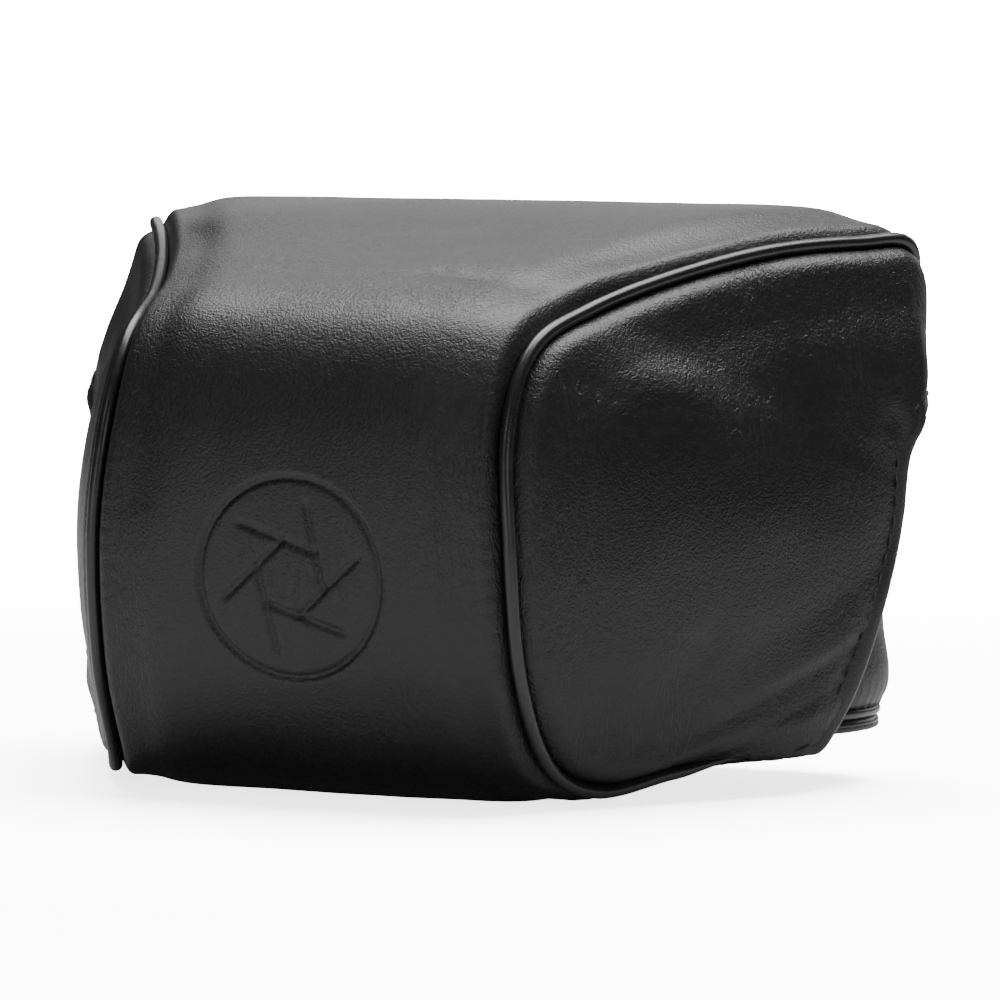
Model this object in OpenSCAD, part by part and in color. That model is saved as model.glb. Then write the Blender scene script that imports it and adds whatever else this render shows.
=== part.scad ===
// Soft leather ever-ready case for a rangefinder camera, closed.
// A half case (the base) holds the camera by a captive tripod screw.
// The cover, with its nose for the lens, folds forward on leather hinge tabs under the base
// and is kept shut by a tongue at the back.
// Origin: middle of the footprint, on the surface it stands on. The nose points to -Y, up is +Z.
// Depths along the case are measured back from the nose, and y_at() turns them into Y.

/* [Cover] */
// Width of the nose between the two seams
nose_width = 73; // [70:1:76]
// Width over the ears, the widest place of the cover
ear_width = 150.4; // [150:0.2:153]
// Depth from the nose's crown to the rear flap
case_depth = 86; // [85.6:0.1:87]
// Height of the seams at the back of the top
seam_height = 85.3; // [85.1:0.1:87]
// How far the middle of each panel stands proud, as a share of the usual crown
crown_share = 1; // [0.7:0.05:1]
// How far the side panels bulge between their edges
side_bulge = 2.8; // [2.6:0.1:4]
// Thickness of the outer leather
leather = 1.4; // [1.2:0.1:1.5]
// Thickness of the lining
lining = 0.6; // [0.4:0.1:0.7]
// Radius of the corded piping along the seams
piping_r = 1.1; // [0.8:0.1:1.2]
// Radius of the turned hems
hem_r = 0.9; // [0.7:0.1:1]

/* [Base] */
// Width of the base over its leather
base_width = 134.8; // [132:0.2:134.8]
// Depth of the base over its leather
base_depth = 40; // [40]
// Height of the base's top edge
base_top = 57; // [50:0.5:57]
// Width of the cut-out for the lens in the base's front wall
lens_gap = 68; // [60:1:76]

/* [Tripod screw] */
// Radius of the knob
knob_r = 10; // [8:0.5:11]
// Height of the knob
knob_h = 7; // [6.6:0.1:7]
// Radius of the thread, plain
thread_r = 3.175; // [3.175]
// How far the screw can drop
screw_drop = 3; // [2:0.25:3]

/* [Tongue] */
// Width of the closing tongue
tongue_width = 24; // [18:1:30]
// Height of the tongue's fold
fold_z = 46.6; // [44:0.1:47]
// Length of the tongue above its fold
tongue_length = 30; // [28:1:34]

/* [Hidden] */
$fn = 64;

black_leather = "#1d1c1b";
lining_grey = "#3a3633";
board_brown = "#5b4a38";
steel = "silver";

eps = 0.05;              // gap between pieces that lie against each other
tongue_gap = 1.4;        // from the flap to the tongue's leather
snap_cap_h = 1.6;
tongue_t = 1.6;
tongue_in = case_depth + tongue_gap;
tongue_out = tongue_in + tongue_t;
total_depth = tongue_out + snap_cap_h;
function y_at(depth) = depth - total_depth / 2;

// The seam between the wrap and the right side panel: half width, depth, height, crown of the wrap there.
// It runs from the flap's lower corner up the back, forward over the top, down the nose and back below.
nose_x = nose_width / 2;
ear_x = ear_width / 2;
SEAM = [
    [ear_x - 9, case_depth - 1.4, 60.9, 0.8],
    [ear_x - 8.4, case_depth - 1.2, seam_height - 11, 1.1],
    [ear_x - 7.2, case_depth - 4.6, seam_height - 0.7, 4.4],
    [ear_x - 12.2, case_depth - 13.6, seam_height, 5.4],
    [ear_x - 20.8, case_depth - 28, seam_height - 1, 4.9],
    [nose_x + 9, 42.2, seam_height - 4.4, 4.8],
    [nose_x + 2.1, 27, seam_height - 8.9, 5.3],
    [nose_x - 1.1, 13.4, seam_height - 14.4, 5],
    [nose_x - 1.5, 5.6, 58.6, 4],
    [nose_x - 0.2, 3.6, 41.1, 3.6],
    [nose_x + 0.4, 6, 21.1, 3.8],
    [nose_x + 1.7, 13, 7.2, 4.2],
    [nose_x + 6, 21.5, 2.5, 2.5],
    [nose_x + 12.6, 33, 4.4, 1.9],
    [ear_x - 19.6, 42.5, 5.9, 1.7],
    [ear_x - 13.4, 52.2, 5.9, 1.2]
];
// The free edge of the right side panel: along the ear's lower edge from the back, through the notch for
// the strap lug, and down and forward to the wrap's rear edge below.
HEM = [
    [ear_x - 8.2, case_depth - 1.8, 60.3],
    [ear_x - 3.2, case_depth - 7.2, 60],
    [ear_x - 0.2, case_depth - 14.6, 58.7],
    [ear_x - 1.9, 68.9, 52.1],
    [ear_x - 2.5, 67.6, 41.6],
    [ear_x - 3.6, 63.3, 29.6],
    [ear_x - 6.4, 59.2, 16.9],
    [ear_x - 10.2, 55.4, 7.7],
    [ear_x - 12, 52.6, 6.2]
];
// Place along the free edge that each point of the seam is joined to
HEM_AT = [
    [0], [1.75], [2.35], [2.6], [2.85], [3.1], [3.35], [3.6],
    [3.85], [4.05], [4.25], [4.55], [5], [5.75], [6.9], [8]
];
FINE = 4;                // rows in each stretch of the seam, for leather and trim
COARSE = 2;              // the same for the lining
seam_last = len(SEAM) - 1;

base_front = 45.5;
base_x = base_width / 2;
front_r = 24;
rear_r = 16;
base_rear = base_front + base_depth;
base_mid = base_front + base_depth / 2;
base_bottom = 8.6;
floor_z = base_bottom + leather;
board_t = 1.5;
felt_t = 0.8;
felt_z = floor_z + board_t + felt_t;
ridge_z = 10.7;
ridge_h = 1.6;
wall_z = ridge_z + ridge_h + eps;

hinge_depth = 52.8;
tab_t = 1.4;
tab_z = base_bottom - eps - tab_t;
tab_x = 30;
tab_width = 22;
tab_end = 72;
snap_depth = 64;
snap_r = 6;

socket_depth = 4.4;
shank_z = 5;
thread_top = felt_z + 4.9;
bush_r = 6.4;
bush_flange_r = 8.5;
bush_bottom = 7.5;
clip_t = 0.5;
clip_z = felt_z - clip_t - 0.1;
clip_seat = clip_z - screw_drop;
clip_groove_r = 2.6;

stud_z = fold_z + 20.4;
nipple_r = 1.6;
socket_r = 2.7;
stud_end = case_depth + 1.9;

// Curve through the points, at u from 0 to the last point's number
function clamp(i, n) = min(max(i, 0), n);
function curve(points, u) =
    let (n = len(points) - 1, i = clamp(floor(u), n - 1), t = u - i,
         a = points[clamp(i - 1, n)], b = points[i], c = points[i + 1], d = points[clamp(i + 2, n)])
    0.5 * (2 * b + (c - a) * t + (2 * a - 5 * b + 4 * c - d) * t * t + (3 * b - a - 3 * c + d) * t * t * t);
function unit(v) = v / max(norm(v), 0.0001);
function place(p) = [p[0], y_at(p[1]), p[2]];

function seam_at(u) = place(curve(SEAM, u));
function seam_way(u) = unit(seam_at(min(u + 0.1, seam_last)) - seam_at(max(u - 0.1, 0)));
function hem_at(u) = place(curve(HEM, curve(HEM_AT, u)[0]));
function hem_way(u) = unit(hem_at(min(u + 0.1, seam_last)) - hem_at(max(u - 0.1, 0)));

// Outward direction of the wrap, across the seam's side view
function wrap_out(u) = let (w = seam_way(u)) unit([0, w[2], -w[1]]);

// A point of the wrap: u along it, v from -1 to 1 across it, in depth below the outer face
function wrap_point(u, v, inset, below) =
    let (s = curve(SEAM, u), crown = s[3] * crown_share * (1 - pow(abs(v), 8)))
    [v * (s[0] - inset), y_at(s[1]), s[2]] + wrap_out(u) * (crown - below);
function wrap_grid(from, to, step, columns, width, inset, below) =
    [for (u = [from : step : to + 0.001])
        [for (k = [-columns : columns]) wrap_point(u, width * sin(90 * k / columns), inset, below)]];

// A point of the right side panel: u along its edges, t from its seam to its hem. The insets of a grid of
// them are measured square to the seam and to the hem.
function side_out(u) =
    let (n = unit(cross(hem_at(u) - seam_at(u), seam_way(u)))) n[0] < 0 ? -n : n;
function side_point(u, t, below) =
    let (a = seam_at(u), b = hem_at(u),
         swell = side_bulge * pow(sin(180 * u / seam_last), 0.7) * (1 - pow(1 - t, 4)) * (1 - pow(t, 3.5)))
    a + (b - a) * t + side_out(u) * (swell - below);
function side_grid(from, to, step, columns, inset, end_inset, below) =
    [for (u = [from : step : to + 0.001])
        let (across = hem_at(u) - seam_at(u),
             t0 = inset / norm(cross(across, seam_way(u))), t1 = 1 - end_inset / norm(cross(across, hem_way(u))))
        [for (k = [0 : columns]) side_point(u, t0 + (t1 - t0) * k / columns, below)]];

// Closed slab between two grids of points
module slab(outer, inner) {
    rows = len(outer);
    cols = len(outer[0]);
    last = cols - 1;
    function at(k, i, j) = (k * rows + i) * cols + j;
    function two(a, b, c, d) = [[a, b, c], [a, c, d]];
    points = [for (grid = [outer, inner]) for (row = grid) for (p = row) p];
    faces = concat(
        [for (i = [0 : rows - 2]) for (j = [0 : cols - 2])
            each two(at(0, i, j), at(0, i, j + 1), at(0, i + 1, j + 1), at(0, i + 1, j))],
        [for (i = [0 : rows - 2]) for (j = [0 : cols - 2])
            each two(at(1, i, j), at(1, i + 1, j), at(1, i + 1, j + 1), at(1, i, j + 1))],
        [for (i = [0 : rows - 2]) each two(at(0, i, 0), at(0, i + 1, 0), at(1, i + 1, 0), at(1, i, 0))],
        [for (i = [0 : rows - 2])
            each two(at(0, i, last), at(1, i, last), at(1, i + 1, last), at(0, i + 1, last))],
        [for (j = [0 : cols - 2]) each two(at(0, 0, j), at(1, 0, j), at(1, 0, j + 1), at(0, 0, j + 1))],
        [for (j = [0 : cols - 2])
            each two(at(0, rows - 1, j), at(0, rows - 1, j + 1), at(1, rows - 1, j + 1), at(1, rows - 1, j))]
    );
    polyhedron(points, faces, convexity = 8);
}

// Round cord along a path
module cord(path, r, reference, sides = 8) {
    rows = len(path);
    function way(i) = unit(path[min(i + 1, rows - 1)] - path[max(i - 1, 0)]);
    function ring(i) =
        let (w = way(i), a = unit(cross(w, reference)), b = cross(w, a))
        [for (k = [0 : sides - 1]) path[i] + r * (a * cos(360 * k / sides) + b * sin(360 * k / sides))];
    points = [for (i = [0 : rows - 1]) each ring(i)];
    function at(i, k) = i * sides + k % sides;
    faces = concat(
        [[for (k = [0 : sides - 1]) at(0, k)]],
        [for (i = [0 : rows - 2]) for (k = [0 : sides - 1])
            each [[at(i, k), at(i + 1, k), at(i + 1, k + 1)], [at(i, k), at(i + 1, k + 1), at(i, k + 1)]]],
        [[for (k = [sides - 1 : -1 : 0]) at(rows - 1, k)]]
    );
    polyhedron(points, faces, convexity = 8);
}

module left() {
    mirror([1, 0, 0])
        children();
}

// Cover

module cover_wrap() {
    inset = leather + 0.15;
    color(black_leather)
        slab(wrap_grid(0, seam_last, 1 / FINE, 8, 1, inset, 0),
             wrap_grid(0, seam_last, 1 / FINE, 8, 1, inset, leather));
}

module side_panel() {
    inset = leather + 0.15;
    color(black_leather)
        slab(side_grid(0.35, seam_last - 1.15, 1 / FINE, 7, inset, hem_r + 0.25, 0),
             side_grid(0.35, seam_last - 1.15, 1 / FINE, 7, inset, hem_r + 0.25, leather));
}

module cover_side_right() {
    side_panel();
}

module cover_side_left() {
    left()
        side_panel();
}

module piping() {
    color("#232120")
        cord([for (u = [0.25 : 1 / FINE : seam_last - 0.2]) seam_at(u)], piping_r, [1, 0, 0]);
}

module cover_piping_right() {
    piping();
}

module cover_piping_left() {
    left()
        piping();
}

module hem() {
    color("#171616")
        cord([for (u = [0.15 : 1 / FINE : seam_last - 0.2]) hem_at(u)], hem_r, [0, 0.6, 0.8]);
}

module cover_hem_right() {
    hem();
}

module cover_hem_left() {
    left()
        hem();
}

module flap_hem() {
    color("#171616")
        cord([for (k = [-8 : 8]) wrap_point(0, k / 8, 3, leather / 2) - [0, 0, hem_r + 0.1]], hem_r, [0, 0, 1]);
}

module nose_stiffener() {
    color(board_brown)
        slab(wrap_grid(8, 10.75, 1 / FINE, 6, 0.8, 3, leather + eps),
             wrap_grid(8, 10.75, 1 / FINE, 6, 0.8, 3, leather + eps + 0.6));
}

lining_out = leather + 0.6 + 2 * eps;

module lining_wrap() {
    inset = lining_out + lining + 0.15;
    color(lining_grey)
        slab(wrap_grid(0.2, seam_last - 0.3, 1 / COARSE, 6, 1, inset, lining_out),
             wrap_grid(0.2, seam_last - 0.3, 1 / COARSE, 6, 1, inset, lining_out + lining));
}

module side_lining() {
    inset = lining_out + lining + 0.15;
    color(lining_grey)
        slab(side_grid(1, seam_last - 2, 1 / COARSE, 5, inset, 2 * hem_r, leather + 0.3),
             side_grid(1, seam_last - 2, 1 / COARSE, 5, inset, 2 * hem_r, leather + 0.3 + lining));
}

module lining_side_right() {
    side_lining();
}

module lining_side_left() {
    left()
        side_lining();
}

// The cover's half of the hinge tabs, sewn under the wrap's rear edge
module hinge_leaf() {
    leaf_from = 44;
    leaf_z = 3;
    color(black_leather)
        for (x = [-tab_x, tab_x])
            translate([x - tab_width / 2, y_at(leaf_from), leaf_z])
                cube([tab_width, hinge_depth - leaf_from - 0.2, 1.2]);
}

module flap_stud() {
    color(steel)
        translate([0, y_at(case_depth), stud_z])
            rotate([-90, 0, 0]) {
                translate([0, 0, eps])
                    cylinder(r = 5, h = 0.4);
                cylinder(r = nipple_r, h = stud_end - case_depth);
            }
}

// Rivet head of the flap's stud, against the flap's lining side
module flap_stud_post() {
    color(steel)
        translate([0, y_at(case_depth - lining_out - lining - 1.4), stud_z])
            rotate([-90, 0, 0])
                cylinder(r = 4.5, h = 0.8);
}

// Base

// Quarter of a disc towards a corner, with a little more on its straight sides
module quarter(r, side, way) {
    intersection() {
        circle(r);
        translate([side < 0 ? -r : -1, way < 0 ? -r : -1])
            square(r + 1);
    }
}

// Outline of the base, grown by a distance
module plan(grow) {
    for (side = [-1, 1]) {
        translate([side * (base_x - front_r), y_at(base_front + front_r)])
            quarter(front_r + grow, side, -1);
        translate([side * (base_x - rear_r), y_at(base_rear - rear_r)])
            quarter(rear_r + grow, side, 1);
    }
    translate([-(base_x - front_r), y_at(base_front) - grow])
        square([2 * (base_x - front_r), base_depth / 2 + grow]);
    translate([-(base_x - rear_r), y_at(base_mid)])
        square([2 * (base_x - rear_r), base_depth / 2 + grow]);
    translate([-(base_x + grow), y_at(base_front + front_r) - 1])
        square([2 * (base_x + grow), base_depth - front_r - rear_r + 2]);
}

module wall(outer, inner, z, h) {
    translate([0, 0, z])
        linear_extrude(h)
            difference() {
                plan(outer);
                plan(inner);
            }
}

// The lens cut-out in front, the lower wall ahead of the camera's strap lugs, and the cut-outs for them
module wall_gaps() {
    lens_z = 26;
    low_wall_z = 46;
    lug_z = 50;
    lug_from = 66;
    lug_to = 74.5;
    high = 40;
    translate([-lens_gap / 2, y_at(base_front) - 5, lens_z])
        cube([lens_gap, 15, high]);
    translate([-base_width, y_at(0), low_wall_z])
        cube([2 * base_width, lug_from, high]);
    translate([-base_width, y_at(lug_from - 1), lug_z])
        cube([2 * base_width, lug_to - lug_from + 1, high]);
}

module base_shell() {
    color(black_leather)
        difference() {
            wall(0, -leather, wall_z, base_top - wall_z);
            wall_gaps();
        }
}

module base_top_binding() {
    color("#171616")
        difference() {
            wall(0, -2.2, base_top + eps, 0.8);
            wall_gaps();
        }
}

module base_piping() {
    color("#232120")
        wall(-0.7, -2.2, ridge_z, ridge_h);
}

module base_floor_leather() {
    color(black_leather)
        difference() {
            union() {
                translate([0, 0, base_bottom])
                    linear_extrude(leather)
                        plan(-0.8);
                wall(-0.8, -2.2, floor_z - eps, ridge_z - floor_z);
            }
            translate([0, y_at(base_mid), 0])
                cylinder(r = bush_r + eps, h = 20);
        }
}

module base_floor_board() {
    color(board_brown)
        difference() {
            translate([0, 0, floor_z + eps])
                linear_extrude(board_t - eps)
                    plan(-2.3);
            translate([0, y_at(base_mid), 0])
                cylinder(r = bush_r + eps, h = 20);
        }
}

module base_lining() {
    color(lining_grey)
        difference() {
            wall(-leather - eps, -leather - eps - lining, wall_z, base_top - wall_z);
            wall_gaps();
        }
}

module base_felt() {
    color(lining_grey)
        difference() {
            translate([0, 0, floor_z + board_t + eps])
                linear_extrude(felt_t - eps)
                    plan(-2.6);
            translate([0, y_at(base_mid), 0])
                cylinder(r = bush_r + eps, h = 20);
        }
}

// Flanged bush that the tripod screw floats in, with a recess for the clip
module screw_bush() {
    color(steel)
        translate([0, y_at(base_mid), 0])
            difference() {
                union() {
                    translate([0, 0, bush_bottom])
                        cylinder(r = bush_flange_r, h = base_bottom - bush_bottom - eps);
                    translate([0, 0, bush_bottom])
                        cylinder(r = bush_r, h = felt_z - bush_bottom);
                }
                cylinder(r = thread_r + 0.075, h = 20);
                translate([0, 0, clip_seat - 0.1])
                    cylinder(r = 4.8, h = 20);
            }
}

module hinge_tab(side) {
    color(black_leather)
        difference() {
            translate([side * tab_x - tab_width / 2, y_at(hinge_depth + 0.2), tab_z])
                cube([tab_width, tab_end - hinge_depth - 0.2, tab_t]);
            translate([side * tab_x, y_at(snap_depth), 0])
                cylinder(r = 2.4, h = 10);
        }
}

module hinge_tab_left() {
    hinge_tab(-1);
}

module hinge_tab_right() {
    hinge_tab(1);
}

module hinge_snap_caps() {
    cap_t = 1.5;
    color(steel)
        for (side = [-1, 1])
            translate([side * tab_x, y_at(snap_depth), tab_z - eps - cap_t])
                union() {
                    cylinder(r1 = snap_r - 1, r2 = snap_r, h = cap_t / 2);
                    translate([0, 0, cap_t / 2])
                        cylinder(r = snap_r, h = cap_t / 2);
                }
}

module hinge_snap_studs() {
    color(steel)
        for (side = [-1, 1])
            translate([side * tab_x, y_at(snap_depth), tab_z])
                cylinder(r = 2.2, h = tab_t);
}

// Tongue, sewn and riveted to the base's rear wall below its fold

module tongue_slab(low, high, inner, thickness) {
    translate([-tongue_width / 2, y_at(inner), low])
        cube([tongue_width, thickness, high - low]);
}

module tongue_root() {
    root_h = 14;
    rivet_x = 7;
    color(black_leather)
        difference() {
            tongue_slab(fold_z - root_h, fold_z - 0.4, base_rear + eps, tongue_t);
            for (x = [-rivet_x, rivet_x])
                translate([x, y_at(base_rear), fold_z - root_h / 2])
                    rotate([-90, 0, 0])
                        cylinder(r = 1.3, h = 5);
        }
}

module tongue_rivets() {
    rivet_x = 7;
    color(steel)
        for (x = [-rivet_x, rivet_x])
            translate([x, y_at(base_rear + eps), fold_z - 7])
                rotate([-90, 0, 0]) {
                    cylinder(r = 1.25, h = tongue_t + 0.5);
                    translate([0, 0, tongue_t + 0.05])
                        cylinder(r = 2.6, h = 0.8);
                }
}

module closing_tongue() {
    end_z = fold_z + tongue_length;
    color(black_leather)
        difference() {
            union() {
                tongue_slab(fold_z + 0.3, end_z - tongue_width / 2, tongue_in, tongue_t);
                translate([0, y_at(tongue_in), end_z - tongue_width / 2])
                    rotate([-90, 0, 0])
                        cylinder(r = tongue_width / 2, h = tongue_t);
            }
            translate([0, y_at(tongue_in) - 1, stud_z])
                rotate([-90, 0, 0])
                    cylinder(r = socket_r, h = 10);
        }
}

module tongue_snap_cap() {
    color(steel)
        translate([0, y_at(tongue_out), stud_z])
            rotate([-90, 0, 0]) {
                translate([0, 0, eps])
                    cylinder(r = snap_r, h = snap_cap_h / 2 - eps);
                translate([0, 0, snap_cap_h / 2])
                    cylinder(r1 = snap_r, r2 = snap_r - 1.6, h = snap_cap_h / 2);
            }
}

module tongue_snap_socket() {
    color(steel)
        translate([0, y_at(tongue_in - 0.75), stud_z])
            rotate([-90, 0, 0])
                difference() {
                    cylinder(r = 5, h = 0.7);
                    translate([0, 0, -1])
                        cylinder(r = socket_r, h = 3);
                }
}

// Tripod screw

module screw_clip() {
    color(steel)
        translate([0, y_at(base_mid), clip_z])
            difference() {
                cylinder(r = 4.5, h = clip_t);
                translate([0, 0, -1])
                    cylinder(r = clip_groove_r + 0.05, h = 3);
            }
}

// Knob with a tripod socket in its underside
module screw_knob() {
    color(steel)
        translate([0, y_at(base_mid), 0])
            difference() {
                cylinder(r = knob_r, h = knob_h);
                translate([0, 0, -1])
                    cylinder(r = thread_r, h = socket_depth + 1);
                translate([0, 0, shank_z])
                    cylinder(r = thread_r + 0.01, h = 10);
            }
}

module screw_shank() {
    color(steel)
        translate([0, y_at(base_mid), 0])
            difference() {
                union() {
                    translate([0, 0, shank_z])
                        cylinder(r = thread_r, h = thread_top - 0.5 - shank_z);
                    translate([0, 0, thread_top - 0.5])
                        cylinder(r1 = thread_r, r2 = thread_r - 0.5, h = 0.5);
                }
                translate([0, 0, clip_z - 0.1])
                    difference() {
                        cylinder(r = thread_r + 1, h = clip_t + 0.2);
                        translate([0, 0, -1])
                            cylinder(r = clip_groove_r, h = 3);
                    }
            }
}

cover_wrap();
cover_side_left();
cover_side_right();
cover_piping_left();
cover_piping_right();
cover_hem_left();
cover_hem_right();
flap_hem();
nose_stiffener();
lining_wrap();
lining_side_left();
lining_side_right();
hinge_leaf();
flap_stud();
flap_stud_post();
base_shell();
base_top_binding();
base_piping();
base_floor_leather();
base_floor_board();
base_lining();
base_felt();
screw_bush();
hinge_tab_left();
hinge_tab_right();
hinge_snap_caps();
hinge_snap_studs();
tongue_root();
tongue_rivets();
closing_tongue();
tongue_snap_cap();
tongue_snap_socket();
screw_clip();
screw_knob();
screw_shank();
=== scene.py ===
"""Looks for the leather ever ready case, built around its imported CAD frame.

Shapes are worked out in millimetres, in the frame's own axes, and turn into metres when a mesh is made.
Depths are measured back from the nose's crown, as in the CAD source, and y_at() turns them into Y.
"""
import math

import bpy
import numpy as np
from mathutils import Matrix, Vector


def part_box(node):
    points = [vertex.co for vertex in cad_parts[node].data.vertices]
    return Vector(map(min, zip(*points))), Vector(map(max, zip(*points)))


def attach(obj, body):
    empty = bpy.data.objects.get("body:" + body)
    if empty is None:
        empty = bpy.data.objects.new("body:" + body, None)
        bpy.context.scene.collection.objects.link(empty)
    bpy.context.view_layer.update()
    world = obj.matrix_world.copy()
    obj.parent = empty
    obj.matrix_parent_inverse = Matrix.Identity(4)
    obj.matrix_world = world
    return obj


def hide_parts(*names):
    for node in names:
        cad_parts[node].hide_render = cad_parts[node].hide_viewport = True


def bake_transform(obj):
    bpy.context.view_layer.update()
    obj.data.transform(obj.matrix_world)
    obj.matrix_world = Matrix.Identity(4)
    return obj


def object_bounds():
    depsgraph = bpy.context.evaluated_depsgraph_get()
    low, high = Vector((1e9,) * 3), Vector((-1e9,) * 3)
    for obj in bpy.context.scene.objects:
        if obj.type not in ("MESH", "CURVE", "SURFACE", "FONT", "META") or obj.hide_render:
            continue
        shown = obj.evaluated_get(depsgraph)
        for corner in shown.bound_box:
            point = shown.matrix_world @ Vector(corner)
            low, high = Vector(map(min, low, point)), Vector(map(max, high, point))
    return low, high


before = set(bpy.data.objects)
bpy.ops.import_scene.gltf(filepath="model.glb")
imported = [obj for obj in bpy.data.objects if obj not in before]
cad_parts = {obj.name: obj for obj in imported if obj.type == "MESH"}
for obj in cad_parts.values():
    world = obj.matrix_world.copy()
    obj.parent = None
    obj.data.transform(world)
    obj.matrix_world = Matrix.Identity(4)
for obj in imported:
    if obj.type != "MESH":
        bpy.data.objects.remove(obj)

cad_low, cad_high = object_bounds()
MM = 0.001
# Depth of the base's middle, where the tripod screw stands
BASE_MID = 65.5
screw_low, screw_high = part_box("screw_shank")
DEPTH_ZERO = (screw_low.y + screw_high.y) / 2 / MM - BASE_MID


def y_at(depth):
    return depth + DEPTH_ZERO


# Shape of the cover, as in the CAD source

NOSE_X = 36.5
EAR_X = 75.2
CASE_DEPTH = 86.0
SEAM_HEIGHT = 85.3
LEATHER = 1.4
PIPING_R = 1.1
SIDE_BULGE = 2.8
# Rows of half width, depth, height and crown along the seam, from the rear flap over the nose to the hinge
SEAM = np.array([
    [EAR_X - 9, CASE_DEPTH - 1.4, 60.9, 0.8],
    [EAR_X - 8.4, CASE_DEPTH - 1.2, SEAM_HEIGHT - 11, 1.1],
    [EAR_X - 7.2, CASE_DEPTH - 4.6, SEAM_HEIGHT - 0.7, 4.4],
    [EAR_X - 12.2, CASE_DEPTH - 13.6, SEAM_HEIGHT, 5.4],
    [EAR_X - 20.8, CASE_DEPTH - 28, SEAM_HEIGHT - 1, 4.9],
    [NOSE_X + 9, 42.2, SEAM_HEIGHT - 4.4, 4.8],
    [NOSE_X + 2.1, 27, SEAM_HEIGHT - 8.9, 5.3],
    [NOSE_X - 1.1, 13.4, SEAM_HEIGHT - 14.4, 5],
    [NOSE_X - 1.5, 5.6, 58.6, 4],
    [NOSE_X - 0.2, 3.6, 41.1, 3.6],
    [NOSE_X + 0.4, 6, 21.1, 3.8],
    [NOSE_X + 1.7, 13, 7.2, 4.2],
    [NOSE_X + 6, 21.5, 2.5, 2.5],
    [NOSE_X + 12.6, 33, 4.4, 1.9],
    [EAR_X - 19.6, 42.5, 5.9, 1.7],
    [EAR_X - 13.4, 52.2, 5.9, 1.2],
])
# Rows of half width, depth and height along the side panel's free edge
HEM = np.array([
    [EAR_X - 8.2, CASE_DEPTH - 1.8, 60.3],
    [EAR_X - 3.2, CASE_DEPTH - 7.2, 60],
    [EAR_X - 0.2, CASE_DEPTH - 14.6, 58.7],
    [EAR_X - 1.9, 68.9, 52.1],
    [EAR_X - 2.5, 67.6, 41.6],
    [EAR_X - 3.6, 63.3, 29.6],
    [EAR_X - 6.4, 59.2, 16.9],
    [EAR_X - 10.2, 55.4, 7.7],
    [EAR_X - 12, 52.6, 6.2],
])
# The hem row that faces each seam row
HEM_AT = np.array([[q] for q in (0, 1.75, 2.35, 2.6, 2.85, 3.1, 3.35, 3.6, 3.85, 4.05, 4.25, 4.55, 5, 5.75,
                                 6.9, 8)])
LAST = len(SEAM) - 1


def curve(points, u):
    """Smooth curve through rows of points: u is 0 at the first row and counts rows."""
    n = len(points) - 1
    u = np.asarray(u, float)
    i = np.clip(np.floor(u).astype(int), 0, n - 1)
    t = (u - i)[..., None]
    a, b = points[np.clip(i - 1, 0, n)], points[i]
    c, d = points[np.clip(i + 1, 0, n)], points[np.clip(i + 2, 0, n)]
    square, cube = 2 * a - 5 * b + 4 * c - d, 3 * b - a - 3 * c + d
    return 0.5 * (2 * b + (c - a) * t + square * t ** 2 + cube * t ** 3)


def unit(v):
    return v / np.maximum(np.linalg.norm(v, axis=-1, keepdims=True), 1e-9)


def placed(p):
    """Points given by depth, in the frame's own axes."""
    p = np.array(p, float)[..., :3]
    p[..., 1] = y_at(p[..., 1])
    return p


def seam_at(u):
    return placed(curve(SEAM, u))


def seam_way(u):
    return unit(seam_at(np.minimum(u + 0.1, LAST)) - seam_at(np.maximum(u - 0.1, 0)))


def hem_at(u):
    return placed(curve(HEM, curve(HEM_AT, u)[..., 0]))


def wrap_out(u):
    """The way out of the wrap panel, square to the seam and to X."""
    w = seam_way(u)
    return unit(np.stack([np.zeros(len(w)), w[:, 2], -w[:, 1]], -1))


def side_out(u):
    """The way out of the right side panel."""
    n = unit(np.cross(hem_at(u) - seam_at(u), seam_way(u)))
    n[n[:, 0] < 0] *= -1
    return n


def running_length(line):
    return np.concatenate([[0], np.cumsum(np.linalg.norm(np.diff(line, axis=0), axis=1))])


def length_steps(line, start, end, step):
    """Values of the parameter between start and end that lie about a step apart along line(u)."""
    fine = np.linspace(start, end, 3000)
    run = running_length(line(fine))
    return np.interp(np.linspace(0, run[-1], int(round(run[-1] / step)) + 1), run, fine)


# Noise for the surfaces, the same at every run

def lattice_noise(p, cell, seed):
    """Smooth noise from -1 to 1 with cells of the given size in millimetres."""
    q = np.asarray(p, float) / cell
    i = np.floor(q)
    f = q - i
    f = f * f * (3 - 2 * f)
    total = np.zeros(q.shape[:-1])
    for corner in range(8):
        o = np.array([corner & 1, corner >> 1 & 1, corner >> 2 & 1])
        h = (i + o) @ np.array([127.1, 311.7, 74.7]) + seed * 17.3
        value = np.modf(np.abs(np.sin(h) * 43758.5453))[0]
        total += np.prod(np.where(o, f, 1 - f), -1) * value
    return total * 2 - 1


def bell(q, width):
    """1 at zero, falling off smoothly over the width."""
    return np.exp(-(q / width) ** 2)


def crease(p, start, end, width, depth):
    """A soft groove in a surface along a line between two points, deepest at its middle."""
    a, b = placed(start), placed(end)
    way = b - a
    t = np.clip(((p - a) @ way) / (way @ way), 0, 1)
    bend = lattice_noise(p, 14, 5) * width * 0.8
    d = np.linalg.norm(p - a - t[..., None] * way, axis=-1) + bend
    return -depth * bell(d, width) * np.sin(np.pi * np.clip(t, 0.02, 0.98)) ** 0.7


PUCKER_PITCH = 2.7
PUCKER_HEIGHT = 0.085
PUCKER_REACH = 4.2


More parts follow.
